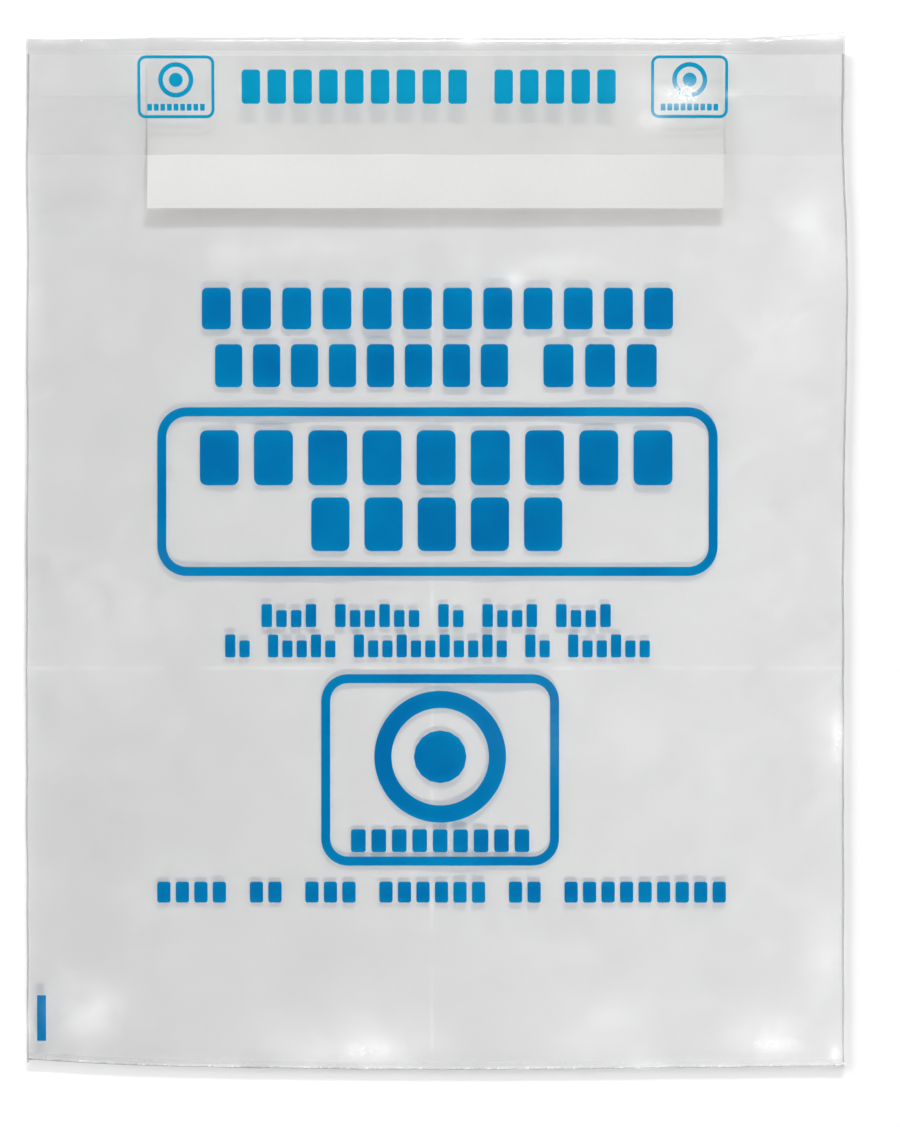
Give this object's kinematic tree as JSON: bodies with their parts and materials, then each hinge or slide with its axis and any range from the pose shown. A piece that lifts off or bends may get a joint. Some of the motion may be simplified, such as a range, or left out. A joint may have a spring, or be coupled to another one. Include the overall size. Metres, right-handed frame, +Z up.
{
  "type": "biohazard waste bag",
  "caption": "Flat clear film disposal bag for laboratory waste, with a header flap folded over the mouth, a white card under the flap and plain blue print blocks.",
  "frame": {"origin": "on the floor at the centre of the bag's outline, with the bag lying flat", "axes": "+Y towards the mouth, +Z up through the printed front, +X to the right of the print"},
  "size_m": [0.61, 0.762, 0.0201],
  "materials": {
    "film": "clear, slightly hazy",
    "card": "matt off-white",
    "header_ink": "printed ink",
    "body_ink": "printed ink"
  },
  "bodies": {
    "bag": {"back_wall": "film", "left_fold": "film", "right_fold": "film", "bottom_seal": "film", "front_lower": "film", "symbol_frame": "body_ink", "symbol": "body_ink", "symbol_word": "body_ink", "base_words": "body_ink", "registration_mark": "body_ink"},
    "mouth_panel": {"front_upper": "film", "title_words": "body_ink", "hazard_frame": "body_ink", "hazard_words": "body_ink", "note_words": "body_ink"},
    "flap": {"header_fold": "film", "header_flap": "film", "header_words": "header_ink", "header_emblems": "header_ink"},
    "card_panel": {"card": "card"}
  },
  "joints": [
    {"name": "flap_hinge", "type": "hinge", "parent": "bag", "child": "flap", "pos_m": [0, 0.371, 0.01], "axis": [-1, 0, 0], "range_deg": [0, 176]},
    {"name": "card_hinge", "type": "hinge", "parent": "bag", "child": "card_panel", "pos_m": [0, 0.371, 0.01], "axis": [-1, 0, 0], "range_deg": [0, 158.4]},
    {"name": "mouth_hinge", "type": "hinge", "parent": "bag", "child": "mouth_panel", "pos_m": [0, -0.086, 0.00585], "axis": [1, 0, 0], "range_deg": [0, 7.9]}
  ],
  "couplings": [
    {"joint": "card_hinge", "follows": "flap_hinge", "ratio": 0.9},
    {"joint": "mouth_hinge", "follows": "flap_hinge", "ratio": 0.0444}
  ]
}
